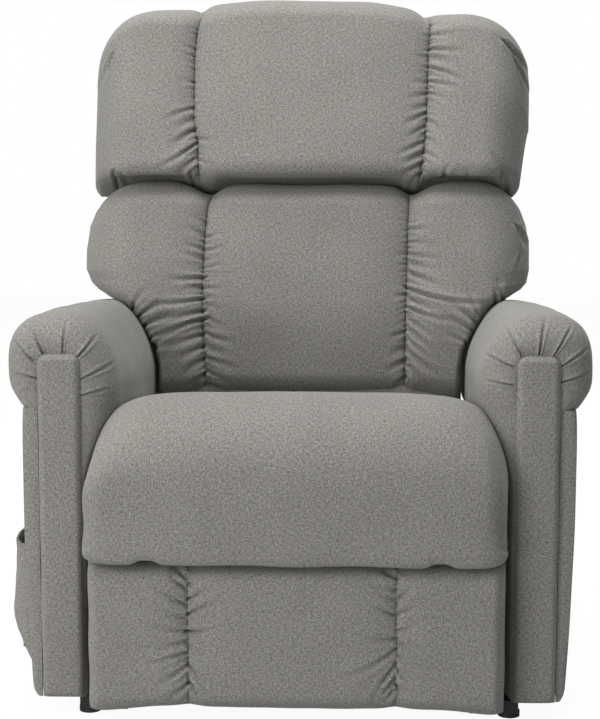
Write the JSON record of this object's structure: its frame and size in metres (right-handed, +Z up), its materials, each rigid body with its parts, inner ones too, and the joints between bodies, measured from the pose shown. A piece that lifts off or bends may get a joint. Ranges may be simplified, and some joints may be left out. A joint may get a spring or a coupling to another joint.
{
  "type": "lift recliner chair",
  "caption": "Upholstered power lift recliner with rolled arms, a pillowed back that reclines, a fold-out footrest and a linkage base that raises and tips the chair forward.",
  "frame": {"origin": "on the floor, midway across the width and near the middle of the depth", "axes": "+X to the sitter's left, -Y the front, +Z up"},
  "size_m": [0.8468, 0.8782, 1.0787],
  "materials": {
    "upholstery": "woven chenille",
    "frame_steel": "black powder coat",
    "zinc": "zinc plated",
    "timber": "plain plywood",
    "black_plastic": "moulded",
    "grey_plastic": "moulded"
  },
  "bodies": {
    "base": {"base_side_rails": "frame_steel", "base_cross_tubes": "frame_steel", "base_feet": "black_plastic", "link_brackets": "frame_steel", "base_bolts": "zinc", "lift_motor_clevis": "frame_steel", "control_box": "black_plastic", "power_inlet": "black_plastic"},
    "lift_arms": {"lift_link_left": "frame_steel", "lift_link_right": "frame_steel", "lift_torsion_tube": "frame_steel", "lift_crank": "frame_steel"},
    "rear_links": {"rear_link_left": "frame_steel", "rear_link_right": "frame_steel"},
    "lift_motor": {"lift_motor_body": "black_plastic"},
    "lift_rod": {"lift_motor_rod": "zinc"},
    "recline_button": {"recline_button": "grey_plastic"},
    "raise_button": {"raise_button": "grey_plastic"},
    "back_rod": {"back_motor_rod": "zinc"},
    "back": {"back_posts": "frame_steel", "back_rails": "frame_steel", "back_springs": "zinc", "lumbar_cushion": "upholstery", "head_cushion": "upholstery", "back_shell": "upholstery", "back_lever": "frame_steel"},
    "footrest": {"footrest_board": "timber", "footrest_cushion": "upholstery", "footrest_bracket_left": "frame_steel", "footrest_bracket_right": "frame_steel"},
    "leg_drive_links": {"leg_drive_link_left": "zinc", "leg_drive_link_right": "zinc"},
    "leg_guide_links": {"leg_guide_link_left": "zinc", "leg_guide_link_right": "zinc"},
    "leg_long_links": {"leg_long_link_left": "zinc", "leg_long_link_right": "zinc"},
    "leg_tilt_links": {"leg_tilt_link_left": "zinc", "leg_tilt_link_right": "zinc"},
    "chair": {"side_plate_left": "frame_steel", "side_plate_right": "frame_steel", "frame_bolts": "zinc", "seat_side_rails": "frame_steel", "seat_cross_rails": "frame_steel", "seat_springs": "zinc", "seat_cushion": "upholstery", "arm_brackets": "frame_steel", "arm_frame_left": "timber", "arm_frame_right": "timber", "arm_cover_left": "upholstery", "arm_cover_right": "upholstery", "arm_outer_panel_left": "upholstery", "arm_outer_panel_right": "upholstery", "arm_front_panel_left": "upholstery", "arm_front_panel_right": "upholstery", "rear_skirt": "upholstery", "side_pocket": "upholstery", "handset_case": "black_plastic", "back_motor_body": "black_plastic"}
  },
  "joints": [
    {"name": "lift", "type": "hinge", "parent": "base", "child": "lift_arms", "pos_m": [0, -0.212, 0.084], "axis": [1, 0, 0], "range_deg": [0, 58]},
    {"name": "chair_tilt", "type": "hinge", "parent": "lift_arms", "child": "chair", "pos_m": [0, 0.093, 0.104], "axis": [1, 0, 0], "range_deg": [-31.01, 0]},
    {"name": "rear_link_swing", "type": "hinge", "parent": "base", "child": "rear_links", "pos_m": [0, -0.1499, 0.0856], "axis": [1, 0, 0], "range_deg": [0, 52.52]},
    {"name": "lift_motor_swing", "type": "hinge", "parent": "base", "child": "lift_motor", "pos_m": [0, 0.263, 0.08], "axis": [1, 0, 0], "range_deg": [0, 2.24]},
    {"name": "lift_motor_stroke", "type": "slide", "parent": "lift_motor", "child": "lift_rod", "axis": [0, -0.9778, 0.2097], "range_m": [0, 0.0954]},
    {"name": "back_recline", "type": "hinge", "parent": "chair", "child": "back", "pos_m": [0, 0.208, 0.33], "axis": [-1, 0, 0], "range_deg": [0, 40]},
    {"name": "back_motor_stroke", "type": "slide", "parent": "chair", "child": "back_rod", "axis": [0, -1, 0], "range_m": [0, 0.0686]},
    {"name": "footrest_extend", "type": "hinge", "parent": "chair", "child": "leg_drive_links", "pos_m": [0, -0.2686, 0.2155], "axis": [-1, 0, 0], "range_deg": [0, 114.8]},
    {"name": "long_link_turn", "type": "hinge", "parent": "leg_drive_links", "child": "leg_long_links", "pos_m": [0, -0.1981, 0.0588], "axis": [-1, 0, 0], "range_deg": [-108.85, 0]},
    {"name": "footrest_turn", "type": "hinge", "parent": "leg_long_links", "child": "footrest", "pos_m": [0, -0.347, 0.1725], "axis": [-1, 0, 0], "range_deg": [0, 74.05]},
    {"name": "guide_link_swing", "type": "hinge", "parent": "chair", "child": "leg_guide_links", "pos_m": [0, -0.2273, 0.2348], "axis": [-1, 0, 0], "range_deg": [0, 116.64]},
    {"name": "tilt_link_turn", "type": "hinge", "parent": "leg_drive_links", "child": "leg_tilt_links", "pos_m": [0, -0.2037, 0.0851], "axis": [-1, 0, 0], "range_deg": [-107.6, 0]},
    {"name": "recline_button_press", "type": "slide", "parent": "chair", "child": "recline_button", "axis": [1, 0, 0], "range_m": [0, 0.0012], "stiffness_N_per_m": 250},
    {"name": "raise_button_press", "type": "slide", "parent": "chair", "child": "raise_button", "axis": [1, 0, 0], "range_m": [0, 0.0012], "stiffness_N_per_m": 250}
  ],
  "couplings": [
    {"joint": "chair_tilt", "follows": "lift", "ratio": -0.53448},
    {"joint": "rear_link_swing", "follows": "lift", "ratio": 0.90467},
    {"joint": "lift_motor_swing", "follows": "lift", "ratio": 0.037802},
    {"joint": "lift_motor_stroke", "follows": "lift", "m_per_rad": 0.09404},
    {"joint": "back_motor_stroke", "follows": "back_recline", "m_per_rad": 0.097982},
    {"joint": "long_link_turn", "follows": "footrest_extend", "ratio": -0.94773},
    {"joint": "footrest_turn", "follows": "footrest_extend", "ratio": 0.6446},
    {"joint": "guide_link_swing", "follows": "footrest_extend", "ratio": 1.0156},
    {"joint": "tilt_link_turn", "follows": "footrest_extend", "ratio": -0.93688}
  ]
}
